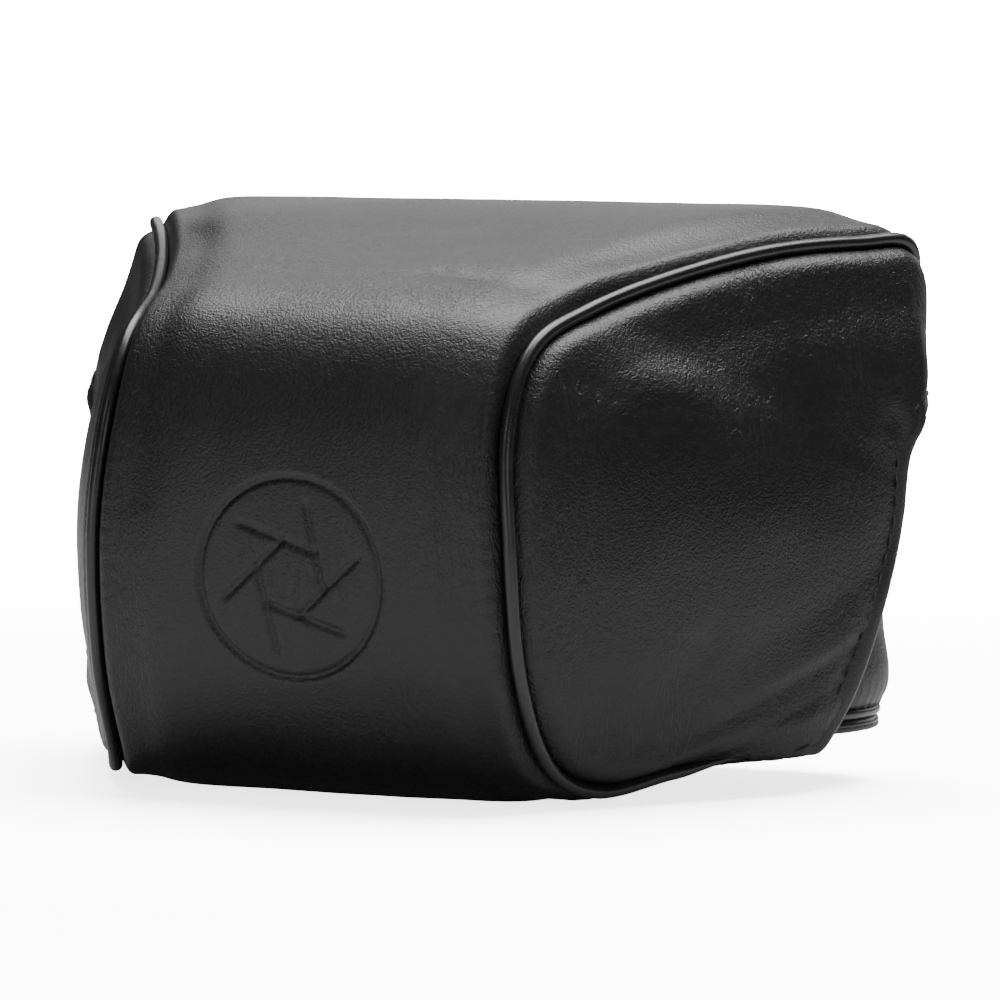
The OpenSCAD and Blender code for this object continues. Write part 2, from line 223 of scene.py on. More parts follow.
def puckers(along, away, seed):
    """Fine gathers square to a seam: along it and away from it in millimetres."""
    at = np.stack([along, along * 0, along * 0 + seed], -1)
    phase = along * 2 * np.pi / PUCKER_PITCH + 2.2 * lattice_noise(at, 6, seed)
    strength = 0.55 + 0.45 * lattice_noise(at, 19, seed + 1)
    return PUCKER_HEIGHT * strength * np.sin(phase) * bell(away, PUCKER_REACH)


def smooth(q):
    """A smooth step from 0 to 1 as q goes from 0 to 1."""
    q = np.clip(q, 0, 1)
    return q * q * (3 - 2 * q)


def tuck(u):
    """From 0 to 1 where the piping thins and sinks between the panels, below the side panel's rear end."""
    return smooth((u - (LAST - 1.9)) / 0.8)


def shoulder(away, r):
    """How far a panel turns down towards its seam."""
    x = np.clip(1 - away / r, 0, 1)
    return r * (1 - np.sqrt(1 - x * x))


# Meshes

def make_object(name, points, faces, material):
    points = np.asarray(points, float).reshape(-1, 3)
    mesh = bpy.data.meshes.new(name)
    mesh.from_pydata((points * MM).tolist(), [], [list(f) for f in faces])
    mesh.polygons.foreach_set("use_smooth", [True] * len(mesh.polygons))
    mesh.materials.append(material)
    mesh.update()
    obj = bpy.data.objects.new(name, mesh)
    bpy.context.scene.collection.objects.link(obj)
    return obj


def volume(points, faces):
    total = 0.0
    for k in (1, 2):
        tri = faces[:, [0, k, k + 1]]
        a, b, c = points[tri[:, 0]], points[tri[:, 1]], points[tri[:, 2]]
        total += np.einsum("ij,ij->i", a, np.cross(b, c)).sum() / 6
    return total


def quads(index):
    """Faces between neighbouring rows and columns of a grid of point numbers."""
    return np.stack([index[:-1, :-1], index[:-1, 1:], index[1:, 1:], index[1:, :-1]], -1).reshape(-1, 4)


def facing_out(points, faces):
    return faces[:, ::-1] if volume(points, faces) < 0 else faces


def slab(outer, inner, ring=False):
    """Closed solid between two grids of points. In a ring the last row meets the first."""
    rows, cols = outer.shape[:2]
    points = np.concatenate([outer.reshape(-1, 3), inner.reshape(-1, 3)])
    index = np.arange(rows * cols).reshape(rows, cols)
    if ring:
        index = np.concatenate([index, index[:1]])
    n = rows * cols
    faces = [quads(index), quads(index[:, ::-1]) + n]
    edges = [index[:, 0][::-1], index[:, -1]]
    if not ring:
        edges += [index[0], index[-1][::-1]]
    for e in edges:
        faces.append(np.stack([e[:-1], e[1:], e[1:] + n, e[:-1] + n], -1))
    return points, facing_out(points, np.concatenate(faces))


def strip_solid(grid):
    """Solid with a closed cross-section in each row of the grid, and flat ends."""
    rows, cols = grid.shape[:2]
    index = np.arange(rows * cols).reshape(rows, cols)
    index = np.concatenate([index, index[:, :1]], 1)
    points = grid.reshape(-1, 3)
    faces = facing_out(points, quads(index))
    return points, faces.tolist() + [index[0, :-1].tolist(), index[-1, :-1][::-1].tolist()]


def ring_solid(grid):
    """Solid ring with a closed cross-section in each row of the grid."""
    rows, cols = grid.shape[:2]
    index = np.arange(rows * cols).reshape(rows, cols)
    index = np.concatenate([index, index[:, :1]], 1)
    index = np.concatenate([index, index[:1]])
    points = grid.reshape(-1, 3)
    return points, facing_out(points, quads(index))


def sweep(path, radii, sides, first=(1, 0, 0), closed=False):
    """Round cord along a path, with domed ends."""
    path = np.asarray(path, float)
    rows = len(path)
    if closed:
        w = unit(np.roll(path, -1, 0) - np.roll(path, 1, 0))
    else:
        w = unit(np.concatenate([path[1:2] - path[:1], path[2:] - path[:-2], path[-1:] - path[-2:-1]]))
        radii = np.broadcast_to(radii, rows).copy()
        r0, r1 = radii[0], radii[-1]
        caps = np.array([0.98, 0.8, 0.45])
        head = path[0] - w[0] * (r0 * caps)[:, None]
        tail = path[-1] + w[-1] * (r1 * caps[::-1])[:, None]
        ends = np.sqrt(1 - caps ** 2)
        path = np.concatenate([head, path, tail])
        w = np.concatenate([np.repeat(w[:1], 3, 0), w, np.repeat(w[-1:], 3, 0)])
        radii = np.concatenate([r0 * ends, radii, r1 * ends[::-1]])
        rows += 6
    radii = np.broadcast_to(radii, rows)
    a = unit(np.cross(w, np.array(first, float)))
    b = np.cross(w, a)
    t = np.arange(sides) * 2 * np.pi / sides
    around = a[:, None] * np.cos(t)[None, :, None] + b[:, None] * np.sin(t)[None, :, None]
    grid = path[:, None] + around * radii[:, None, None]
    return ring_solid(grid) if closed else strip_solid(grid)


def lathe(profile, centre, axis, sides=96, flute=None):
    """Turned solid from profile rows of (radius, distance along the axis).

    flute(angle, row) is added to the radius.
    """
    axis = unit(np.array(axis, float))
    a = unit(np.cross(axis, [1.0, 0, 0] if abs(axis[0]) < 0.9 else [0, 1.0, 0]))
    b = np.cross(axis, a)
    t = np.arange(sides) * 2 * np.pi / sides
    rows = []
    for k, (r, h) in enumerate(profile):
        rr = r * np.ones(sides) if flute is None else r + flute(t, k)
        rows.append(np.array(centre, float) + h * axis
                    + rr[:, None] * (np.cos(t)[:, None] * a + np.sin(t)[:, None] * b))
    return strip_solid(np.stack(rows))


def joined(parts):
    """One mesh of several."""
    points, faces, start = [], [], 0
    for p, f in parts:
        points.append(np.asarray(p))
        faces += [[i + start for i in face] for face in (f.tolist() if isinstance(f, np.ndarray) else f)]
        start += len(p)
    return np.concatenate(points), faces


def mirrored(points, faces):
    """The same mesh on the other side of X = 0."""
    points = np.array(points, float) * np.array([-1, 1, 1])
    faces = faces.tolist() if isinstance(faces, np.ndarray) else faces
    return points, [list(reversed(f)) for f in faces]


def stitches(line, out, pitch=3.1, length=2.3, r=0.24, sink=0.05):
    """Short bowed threads along a line of points, lying on the side that out points to."""
    line = np.asarray(line, float)
    run = running_length(line)
    out = np.broadcast_to(out, line.shape)
    parts = []
    for k in range(int((run[-1] - length) / pitch) + 1):
        at = pitch * k + np.linspace(0, length, 5)
        p = np.stack([np.interp(at, run, line[:, j]) for j in range(3)], -1)
        n = unit(np.stack([np.interp(at, run, out[:, j]) for j in range(3)], -1))
        p = p + n * (r * np.array([-0.9, 0.45, 0.75, 0.45, -0.9]) - sink)[:, None]
        parts.append(sweep(p, r, 6, first=n[2]))
    return joined(parts)


# Materials

PEBBLES_PER_MM = 2.1
SMALL_PEBBLES_PER_MM = 4.4


def new_material(name):
    m = bpy.data.materials.new(name)
    m.use_nodes = True
    tree = m.node_tree
    shader = tree.nodes["Principled BSDF"]
    return m, tree, shader


def add(tree, kind, inputs=None, **values):
    n = tree.nodes.new(kind)
    for key, value in values.items():
        setattr(n, key, value)
    for key, value in (inputs or {}).items():
        if isinstance(value, bpy.types.NodeSocket):
            tree.links.new(value, n.inputs[key])
        else:
            n.inputs[key].default_value = value
    return n


def stretched(tree, vector, scale):
    return add(tree, "ShaderNodeMapping", {"Vector": vector, "Scale": scale}).outputs["Vector"]


def coordinates(tree):
    """Object coordinates in millimetres."""
    return stretched(tree, add(tree, "ShaderNodeTexCoord").outputs["Object"], (1 / MM, 1 / MM, 1 / MM))


def math_node(tree, operation, a, b):
    return add(tree, "ShaderNodeMath", {0: a, 1: b}, operation=operation).outputs[0]


def colour_between(tree, factor, low, high):
    n = add(tree, "ShaderNodeMix", {0: factor}, data_type="RGBA")
    n.inputs[6].default_value = (*low, 1)
    n.inputs[7].default_value = (*high, 1)
    return n.outputs[2]


def leather(name, dark, light, roughness, grain=1.0, bump=0.5, lines=0.6, coat=0.0):
    """Nappa: rounded pebble grain of about a millimetre, hair pores, fine wrinkle lines and uneven polish."""
    m, tree, shader = new_material(name)
    mm = coordinates(tree)
    warp = add(tree, "ShaderNodeTexNoise", {"Vector": mm, "Scale": 0.35, "Detail": 2.0})
    spread = add(tree, "ShaderNodeVectorMath", {0: warp.outputs["Color"], 1: (1.6, 1.6, 1.6)},
                 operation="MULTIPLY").outputs[0]
    moved = add(tree, "ShaderNodeVectorMath", {0: mm, 1: spread}, operation="ADD").outputs[0]
    cells = add(tree, "ShaderNodeTexVoronoi", {"Vector": moved, "Scale": PEBBLES_PER_MM * grain,
                                                "Smoothness": 0.7}, feature="SMOOTH_F1")
    small = add(tree, "ShaderNodeTexVoronoi", {"Vector": moved, "Scale": SMALL_PEBBLES_PER_MM * grain,
                                                "Smoothness": 0.6}, feature="SMOOTH_F1")
    fine = add(tree, "ShaderNodeTexNoise", {"Vector": mm, "Scale": 7.0, "Detail": 2.0, "Roughness": 0.6})
    broad = add(tree, "ShaderNodeTexNoise", {"Vector": mm, "Scale": 0.045, "Detail": 3.0})
    wrinkle = add(tree, "ShaderNodeTexNoise", {"Vector": stretched(tree, moved, (0.75, 0.75, 0.11)),
                                               "Scale": 1.0, "Detail": 3.0, "Roughness": 0.5})
    ridge = math_node(tree, "ABSOLUTE", math_node(tree, "SUBTRACT", wrinkle.outputs["Fac"], 0.5), 0.0)
    line = add(tree, "ShaderNodeMapRange", {"Value": ridge, "From Min": 0.0, "From Max": 0.055,
                                            "To Min": -1.0, "To Max": 0.0}).outputs[0]
    where = add(tree, "ShaderNodeMapRange", {"Value": broad.outputs["Fac"], "From Min": 0.46,
                                             "From Max": 0.62}).outputs[0]
    line = math_node(tree, "MULTIPLY", math_node(tree, "MULTIPLY", line, where), 0.5 * lines)
    pebble = math_node(tree, "MULTIPLY", cells.outputs["Distance"], -0.9)
    pebble = math_node(tree, "ADD", pebble, math_node(tree, "MULTIPLY", small.outputs["Distance"], -0.55))
    height = math_node(tree, "ADD", pebble, math_node(tree, "MULTIPLY", fine.outputs["Fac"], 0.16))
    height = math_node(tree, "ADD", height, line)
    bumped = add(tree, "ShaderNodeBump", {"Height": height, "Strength": bump, "Distance": 0.00015})
    tree.links.new(bumped.outputs["Normal"], shader.inputs["Normal"])
    tone = math_node(tree, "ADD", math_node(tree, "MULTIPLY", broad.outputs["Fac"], 0.7),
                     math_node(tree, "MULTIPLY", fine.outputs["Fac"], 0.3))
    tree.links.new(colour_between(tree, tone, dark, light), shader.inputs["Base Color"])
    gloss = math_node(tree, "ADD", roughness - 0.12, math_node(tree, "MULTIPLY", broad.outputs["Fac"], 0.14))
    gloss = math_node(tree, "ADD", gloss, math_node(tree, "MULTIPLY", cells.outputs["Distance"], 0.10))
    tree.links.new(gloss, shader.inputs["Roughness"])
    shader.inputs["Specular IOR Level"].default_value = 0.5
    shader.inputs["Coat Weight"].default_value = coat
    shader.inputs["Coat Roughness"].default_value = 0.3
    return m


def cloth(name, dark, light, scale, bump=0.5):
    """Napped or felted fibre."""
    m, tree, shader = new_material(name)
    mm = coordinates(tree)
    fibre = add(tree, "ShaderNodeTexNoise", {"Vector": mm, "Scale": scale, "Detail": 6.0, "Roughness": 0.75,
                                             "Distortion": 1.2})
    clumps = add(tree, "ShaderNodeTexNoise", {"Vector": mm, "Scale": 0.12, "Detail": 3.0})
    both = math_node(tree, "ADD", fibre.outputs["Fac"], clumps.outputs["Fac"])
    tone = math_node(tree, "MULTIPLY", both, 0.5)
    tree.links.new(colour_between(tree, tone, dark, light), shader.inputs["Base Color"])
    bumped = add(tree, "ShaderNodeBump", {"Height": fibre.outputs["Fac"], "Strength": bump,
                                          "Distance": 0.0003})
    tree.links.new(bumped.outputs["Normal"], shader.inputs["Normal"])
    shader.inputs["Roughness"].default_value = 0.92
    shader.inputs["Sheen Weight"].default_value = 0.25
    shader.inputs["Sheen Roughness"].default_value = 0.5
    return m


def thread_material(name, dark, light):
    """Twisted waxed thread."""
    m, tree, shader = new_material(name)
    mm = coordinates(tree)
    ply = add(tree, "ShaderNodeTexWave", {"Vector": mm, "Scale": 2.4, "Distortion": 0.6, "Detail": 1.0},
              bands_direction="DIAGONAL")
    tree.links.new(colour_between(tree, ply.outputs["Fac"], dark, light), shader.inputs["Base Color"])
    bumped = add(tree, "ShaderNodeBump", {"Height": ply.outputs["Fac"], "Strength": 0.6, "Distance": 0.0001})
    tree.links.new(bumped.outputs["Normal"], shader.inputs["Normal"])
    shader.inputs["Roughness"].default_value = 0.48
    return m


def metal(name, dark, light, roughness, metallic=1.0, coat=0.0):
    """Turned, plated or lacquered metal with fine tool marks and handling marks."""
    m, tree, shader = new_material(name)
    mm = coordinates(tree)
    marks = add(tree, "ShaderNodeTexNoise", {"Vector": stretched(tree, mm, (0.4, 0.4, 14.0)), "Scale": 1.0,
                                             "Detail": 4.0, "Roughness": 0.6})
    smudge = add(tree, "ShaderNodeTexNoise", {"Vector": mm, "Scale": 0.3, "Detail": 4.0})
    tree.links.new(colour_between(tree, smudge.outputs["Fac"], dark, light), shader.inputs["Base Color"])
    rough = math_node(tree, "ADD", roughness - 0.08, math_node(tree, "MULTIPLY", marks.outputs["Fac"], 0.16))
    tree.links.new(rough, shader.inputs["Roughness"])
    bumped = add(tree, "ShaderNodeBump", {"Height": marks.outputs["Fac"], "Strength": 0.25,
                                          "Distance": 0.00005})
    tree.links.new(bumped.outputs["Normal"], shader.inputs["Normal"])
    shader.inputs["Metallic"].default_value = metallic
    shader.inputs["Coat Weight"].default_value = coat
    return m


wrap_leather = leather("nappa_wrap", (0.0048, 0.0046, 0.0045), (0.0100, 0.0097, 0.0094), roughness=0.42,
                       lines=1.5)
side_leather = leather("nappa_side", (0.0042, 0.0040, 0.0039), (0.0090, 0.0087, 0.0085), roughness=0.40,
                       lines=1.8)
base_leather = leather("nappa_base", (0.0060, 0.0057, 0.0056), (0.0118, 0.0114, 0.0112), roughness=0.42)
piping_leather = leather("nappa_piping", (0.0085, 0.0080, 0.0078), (0.0125, 0.0120, 0.0118), roughness=0.30,
                         grain=1.7, bump=0.12, lines=0.0, coat=0.2)
hem_leather = leather("nappa_hem", (0.0080, 0.0077, 0.0075), (0.0120, 0.0116, 0.0114), roughness=0.45,
                      grain=1.4, bump=0.4, lines=0.3)
hinge_leather = leather("belt_leather", (0.0085, 0.0080, 0.0077), (0.0140, 0.0133, 0.0128), roughness=0.46,
                        grain=0.8, bump=0.5, lines=0.5)
lining_cloth = cloth("napped_lining", (0.028, 0.026, 0.025), (0.060, 0.057, 0.054), 3.0)
felt_cloth = cloth("felt", (0.020, 0.0185, 0.018), (0.045, 0.042, 0.040), 1.8, bump=0.7)
thread = thread_material("waxed_thread", (0.009, 0.009, 0.009), (0.028, 0.028, 0.027))
board = leather("leather_board", (0.14, 0.095, 0.06), (0.24, 0.17, 0.11), roughness=0.7, grain=0.6, bump=0.4,
                lines=0.0)
steel = metal("nickelled_steel", (0.55, 0.55, 0.56), (0.70, 0.70, 0.70), 0.28)
brass = metal("turned_brass", (0.62, 0.49, 0.28), (0.76, 0.62, 0.38), 0.30)
lacquer = metal("black_lacquer", (0.008, 0.008, 0.008), (0.014, 0.014, 0.014), 0.32, metallic=0.0, coat=0.3)
knob_metal = metal("satin_aluminium", (0.50, 0.50, 0.51), (0.62, 0.62, 0.62), 0.36)


def keep(piece, body, slot, *nodes):
    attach(piece, body)
    if nodes:
        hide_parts(*nodes)


DETAIL = 1.0

# Wrap: the one long panel of the cover, with its debossed roundel

EMBLEM_Z = 35.4
EMBLEM_R = 15.6
EMBLEM_SINK = 0.26
BLADES = 6
BLADE_TURN = 12
BLADE_OPENING = 5.2
BLADE_END = 11.2
# Width and depth of a pressed line
RING_LINE = (0.85, 0.58)
BLADE_LINE = (1.05, 0.50)
ROW_STEP = 0.88
FINE_STEP = 0.40
# How far the fine steps go from the middle of the nose
FINE_TO = 17.5


def groove(distance, width, depth):
    return -depth * bell(distance, width / 2)


def emblem(x, z):
    """A ring round a plain six-blade iris, pressed into the leather."""
    r = np.hypot(x, z)
    inside = 1 / (1 + np.exp((r - EMBLEM_R) / 0.22))
    push = -EMBLEM_SINK * inside + groove(r - EMBLEM_R, *RING_LINE)
    start = -BLADE_OPENING * math.tan(math.pi / BLADES)
    for k in range(BLADES):
        a = math.radians(360 / BLADES * k + BLADE_TURN)
        across = x * math.cos(a) + z * math.sin(a) - BLADE_OPENING
        along = -x * math.sin(a) + z * math.cos(a)
        fade = 1 / (1 + np.exp(-(along - start) / 0.25)) / (1 + np.exp((along - BLADE_END) / 0.3))
        push = push + groove(across, *BLADE_LINE) * fade * (r < EMBLEM_R - 1.2)
    return push


def wrap_rows():
    """Rows of the wrap's grid, closer together over the roundel."""
    u = length_steps(seam_at, 0, LAST, ROW_STEP * DETAIL)
    fine = length_steps(seam_at, 0, LAST, FINE_STEP * DETAIL)
    z, d = seam_at(fine)[:, 2], curve(SEAM, fine)[:, 1]
    near = fine[(np.abs(z - EMBLEM_Z) < EMBLEM_R + 2) & (d < 20)]
    return np.sort(np.concatenate([u[(u < near[0]) | (u > near[-1])], near]))


def wrap_columns():
    """Columns of the wrap's grid from -1 to 1, closer together over the roundel and beside the seams."""
    centre = np.linspace(0, FINE_TO / NOSE_X, int(FINE_TO / (FINE_STEP * DETAIL)))
    outer = 1 - (1 - centre[-1]) * (1 - np.linspace(0, 1, int(30 / DETAIL) + 1)[1:]) ** 1.7
    half = np.concatenate([centre, outer])
    return np.concatenate([-half[:0:-1], half])


def wrap_grid(u, v, inset, below, detail=True):
    """Points of the wrap, inset from the seams and below its surface."""
    s = curve(SEAM, u)
    run = running_length(seam_at(u))
    out = wrap_out(u)
    crown = s[:, 3:4] * (1 - np.abs(v)[None, :] ** 12)
    x = v[None, :] * (s[:, 0:1] - inset)
    p = np.stack([x, np.repeat(y_at(s[:, 1:2]), len(v), 1), np.repeat(s[:, 2:3], len(v), 1)], -1)
    p = p + out[:, None] * crown[..., None]
    away = (1 - np.abs(v))[None, :] * (s[:, 0:1] - inset) + inset
    push = np.zeros(away.shape)
    if detail:
        push += 0.50 * bell(away - 2.8, 1.6) - 0.55 * bell(away - 8.0, 3.4)
        push -= shoulder(away, 3.6 - 2.2 * tuck(u)[:, None])
        push += puckers(np.repeat(run[:, None], len(v), 1), away, 3) * np.where(v < 0, 0.9, 1.0)
        push += 0.30 * lattice_noise(p, 34, 11) + 0.09 * lattice_noise(p, 11, 12)
        push += 0.02 * lattice_noise(p, 3.5, 13)
        for line in WRAP_CREASES:
            push += crease(p, *line)
        front = (s[:, 1] < 20)[:, None]
        push += emblem(p[..., 0], p[..., 2] - EMBLEM_Z) * front
    return p + out[:, None] * (push - below)[..., None]


# Start and end (x, depth, height), width and depth of each soft groove
WRAP_CREASES = [
    ((-30, 20, 76), (-33, 4, 56), 3.2, 0.55),
    ((-31, 5, 62), (-26, 0, 44), 3.5, 0.40),
    ((-20, 3, 66), (-24, 0, 48), 2.2, 0.16),
    ((32, 23, 76), (8, 27, 83), 3.4, 0.95),
    ((33, 34, 82), (52, 62, 87), 3.4, 0.55),
    ((-34, 34, 82), (-52, 62, 87), 3.4, 0.50),
    ((-20, 40, 87), (24, 44, 88), 9.0, 0.70),
    ((28, 12, 72), (33, 3, 52), 2.6, 0.30),
    ((34, 8, 14), (26, 16, 6), 2.4, 0.25),
]
rows_u, columns_v = wrap_rows(), wrap_columns()
WRAP_INSET = 0.85
edge_inset = WRAP_INSET * (1 - 0.7 * tuck(rows_u))[:, None]
outer = wrap_grid(rows_u, columns_v, edge_inset, 0)
inner = wrap_grid(rows_u, columns_v, edge_inset + 0.2, LEATHER, detail=False)
gap = np.linalg.norm(outer - inner, axis=-1, keepdims=True)
inner = np.where(gap < 0.5, outer - 0.5 * wrap_out(rows_u)[:, None], inner)
wrap = make_object("cover_wrap_leather", *slab(outer, inner), wrap_leather)
keep(wrap, "cover", "leather", "cover_wrap")

# Side panels

# Soft grooves of the side panels, in the same form
SIDE_CREASES = [
    ((66, 72, 62), (73, 66, 56), 1.3, 0.35),
    ((67, 70, 64), (72, 68, 58), 0.9, 0.25),
    ((45, 24, 11), (55, 40, 30), 3.0, 0.50),
    ((43, 18, 14), (46, 24, 28), 1.8, 0.30),
    ((57, 50, 74), (60, 54, 44), 2.6, 0.22),
    ((52, 40, 70), (55, 44, 44), 2.2, 0.18),
    ((62, 62, 74), (66, 64, 50), 2.4, 0.20),
    ((45, 24, 66), (47, 28, 48), 2.0, 0.15),
    ((64, 58, 34), (52, 44, 26), 3.2, 0.30),
]


def side_grid(u, columns, inset, end_inset, below, detail=True, seed=0, share=1.0):
    """Points of the right side panel from the seam to the hem. share scales how far it bulges."""
    a, b = seam_at(u), hem_at(u)
    span = np.linalg.norm(b - a, axis=1, keepdims=True)
    ease = np.linspace(0, 1, columns + 1) ** 1.35
    hem_way = unit(hem_at(np.minimum(u + 0.1, LAST)) - hem_at(np.maximum(u - 0.1, 0)))
    square = np.linalg.norm(np.cross(b - a, seam_way(u)), axis=1, keepdims=True)
    square_hem = np.linalg.norm(np.cross(b - a, hem_way), axis=1, keepdims=True)
    t0, t1 = np.minimum(inset / square, 0.45), np.maximum(1 - end_inset / square_hem, 0.55)
    t = t0 + (t1 - t0) * ease[None, :]
    swell = share * SIDE_BULGE * np.sin(np.pi * u / LAST)[:, None] ** 0.7
    swell = swell * (1 - (1 - t) ** 7) * (1 - t ** 3.5)
    out = side_out(u)
    p = a[:, None] + (b - a)[:, None] * t[..., None] + out[:, None] * swell[..., None]
    push = np.zeros(t.shape)
    if detail:
        run = running_length(a)
        away = t * square
        push += 0.7 * (1 - bell(away, 3.0)) * np.clip((1 - t) * span / 8, 0, 1)
        push += 0.34 * bell(away - 3.6, 2.2) - 0.50 * bell(away - 11.5, 5.0)
        push -= shoulder(away, 3.2 - 2.0 * tuck(u)[:, None])
        push += puckers(np.repeat(run[:, None], columns + 1, 1), away, 7 + seed)
        q = p + np.array([0, 0, 200.0 * seed])
        push += 0.22 * lattice_noise(q, 26, 21) + 0.10 * lattice_noise(q, 9, 22)
        push += 0.02 * lattice_noise(q, 3.2, 23)
        for line in SIDE_CREASES:
            push += crease(p, *line)
        push *= np.clip((1 - t) * span / 3.0, 0, 1) * 0.9 + 0.1
    return p + out[:, None] * (push - below)[..., None]


SIDE_INSET = 0.85
SIDE_COLUMNS = 44
EDGE_STEP = 0.8
# How much of the bulge each side has
SWELL_SHARE = {"right": 1.0, "left": 0.7}
side_u = length_steps(seam_at, 0.25, LAST - 0.2, EDGE_STEP * DETAIL)
columns = int(SIDE_COLUMNS / DETAIL)
edge_inset = SIDE_INSET * (1 - 0.7 * tuck(side_u))[:, None]
for seed, side in enumerate(("right", "left")):
    share = SWELL_SHARE[side]
    o = side_grid(side_u, columns, edge_inset, 0.4, 0, seed=seed, share=share)
    i = side_grid(side_u, columns, edge_inset + 0.3, 0.4, LEATHER, detail=False, share=share)
    shape = slab(o, i)
    shape = mirrored(*shape) if side == "left" else shape
    keep(make_object("cover_side_leather_" + side, *shape, side_leather), "cover", "leather",
         "cover_side_" + side)

# Piping

pipe_u = length_steps(seam_at, 0.12, LAST - 0.12, EDGE_STEP * DETAIL)
pipe_path = seam_at(pipe_u) - side_out(pipe_u) * 0.7 * tuck(pipe_u)[:, None]
pipe_unevenness = 0.035 * lattice_noise(pipe_path, 4, 31) + 0.02 * lattice_noise(pipe_path, 1.7, 32)
pipe_r = PIPING_R * (1 - 0.5 * tuck(pipe_u) + pipe_unevenness)
for side in ("right", "left"):
    shape = sweep(pipe_path, pipe_r, 16)
    shape = mirrored(*shape) if side == "left" else shape
    keep(make_object("cover_piping_cord_" + side, *shape, piping_leather), "cover", "piping",
         "cover_piping_" + side)


# Hems: a turned strip round each free edge, sewn down

def hem_frame(u, under):
    """Edge of the side panel along u, then round its lower corner along under.

    With it come the way into the panel, the way out of it, and how far each point is into the corner.
    """
    heart = (seam_at(under[-1:]) + hem_at(under[-1:])) / 2
    near = np.concatenate([smooth((u - (LAST - 1.0)) / 0.7), np.ones(len(under))])[:, None]
    e = np.concatenate([hem_at(u), seam_at(under)])
    for _ in range(3):
        e[-20:-1] = (e[-21:-2] + 2 * e[-20:-1] + e[-19:]) / 4
    target = np.concatenate([seam_at(u), hem_at(under)]) * (1 - near) + heart * near
    way = unit(np.gradient(e, axis=0))
    into = unit(target - e)
    into = unit(into - way * np.sum(into * way, axis=1, keepdims=True))
    out = unit(np.cross(way, into))
    out[out[:, 0] < 0] *= -1
    return e, into, out, near[:, 0]


def hem_strip(e, into, out, width, edge=0.9):
    """Grid of a strip folded over the edge of the side panel, its cross-section closed."""
    bump = 0.05 * lattice_noise(e, 5, 41) + 0.03 * lattice_noise(e, 2.2, 42)
    profile = []
    for w, n in ((1.0, -0.35), (1.0, 0.22), (0.93, 0.42), (0.55, 0.56), (0.2, 0.5), (-0.12, 0.28),
                 (-0.27, -0.25), (-0.24, -0.85), (-0.05, -1.3), (0.3, -1.55), (0.7, -1.55), (0.97, -1.5)):
        profile.append(e + into * (w * width)[:, None] + out * (n * edge + bump)[:, None])
    return np.stack(profile, 1)


hem_u = length_steps(hem_at, 0.1, LAST - 0.15, EDGE_STEP * DETAIL)
hem_edge, hem_into, hem_out, near = hem_frame(hem_u, np.linspace(LAST - 0.06, LAST - 0.8, 10))
hem_width = (2.6 + 1.4 * np.clip((34 - hem_edge[:, 2]) / 22, 0, 1)) * (1 - near) + 1.7 * near
strip = hem_strip(hem_edge, hem_into, hem_out, hem_width)
stitch_line = hem_edge + hem_into * (hem_width * 0.62)[:, None] + hem_out * 0.5
for side in ("right", "left"):
    shape = strip_solid(strip)
    threads = stitches(stitch_line[4:-14], hem_out[4:-14])
    if side == "left":
        shape, threads = mirrored(*shape), mirrored(*threads)
    keep(make_object("cover_hem_strip_" + side, *shape, hem_leather), "cover", "hem", "cover_hem_" + side)
    keep(make_object("cover_hem_stitches_" + side, *threads, thread), "cover", "thread")

# Flap hem along the lower edge at the back

flap_v = np.linspace(-1, 1, 161)
flap_edge = wrap_grid(np.array([0.0, 0.02]), flap_v, 2.4, LEATHER / 2, detail=False)[0]
profile = []
# How far up from the edge and how far out, round the folded strip
for up, n in ((3.0, 1.05), (2.9, 1.3), (1.6, 1.42), (0.3, 1.35), (-0.55, 1.0), (-0.85, 0.2), (-0.7, -0.7),
              (-0.2, -1.15), (1.2, -1.25), (2.9, -1.2), (3.0, -0.9), (3.0, 0.0)):
    profile.append(flap_edge + np.array([0, n, up]) * np.array([0, 0.82, 1.0]))
keep(make_object("flap_hem_strip", *strip_solid(np.stack(profile, 1)), hem_leather), "cover", "hem",
     "flap_hem")
flap_line = flap_edge[3:-3] + np.array([0, 1.15, 1.7])
keep(make_object("flap_hem_stitches", *stitches(flap_line, np.array([0, 1.0, 0])), thread), "cover", "thread")

# Cover lining

def folds(p, seed):
    return 0.12 * lattice_noise(p, 13, seed) + 0.05 * lattice_noise(p, 4.5, seed + 1)


LINING_GAP = 1.55
LINING_INSET = 2.9
LINING_STEP = 2.4
lining_u = length_steps(seam_at, 0.15, LAST - 0.25, LINING_STEP)
lining_v = np.sin(np.linspace(-1, 1, 61) * np.pi / 2)
o = wrap_grid(lining_u, lining_v, LINING_INSET, LINING_GAP, detail=False)
i = wrap_grid(lining_u, lining_v, LINING_INSET + 0.2, 2.5, detail=False)
i = i - wrap_out(lining_u)[:, None] * (0.12 + folds(i, 51))[..., None]
keep(make_object("cover_lining_wrap", *slab(o, i), lining_cloth), "cover", "lining", "lining_wrap")
lining_side_u = length_steps(seam_at, 0.9, LAST - 2.0, LINING_STEP)
for side in ("right", "left"):
    share = SWELL_SHARE[side]
    o, i = [side_grid(lining_side_u, 24, LINING_INSET, 1.9, below, detail=False, share=share)
            for below in (1.5, 2.1)]
    i = i - side_out(lining_side_u)[:, None] * (0.12 + folds(i, 61))[..., None]
    shape = slab(o, i)
    shape = mirrored(*shape) if side == "left" else shape
    keep(make_object("cover_lining_side_" + side, *shape, lining_cloth), "cover", "lining",
         "lining_side_" + side)


# Base

BASE_X = 67.4
BASE_FRONT = 45.5
BASE_REAR = 85.5
FRONT_R = 24.0
REAR_R = 16.0


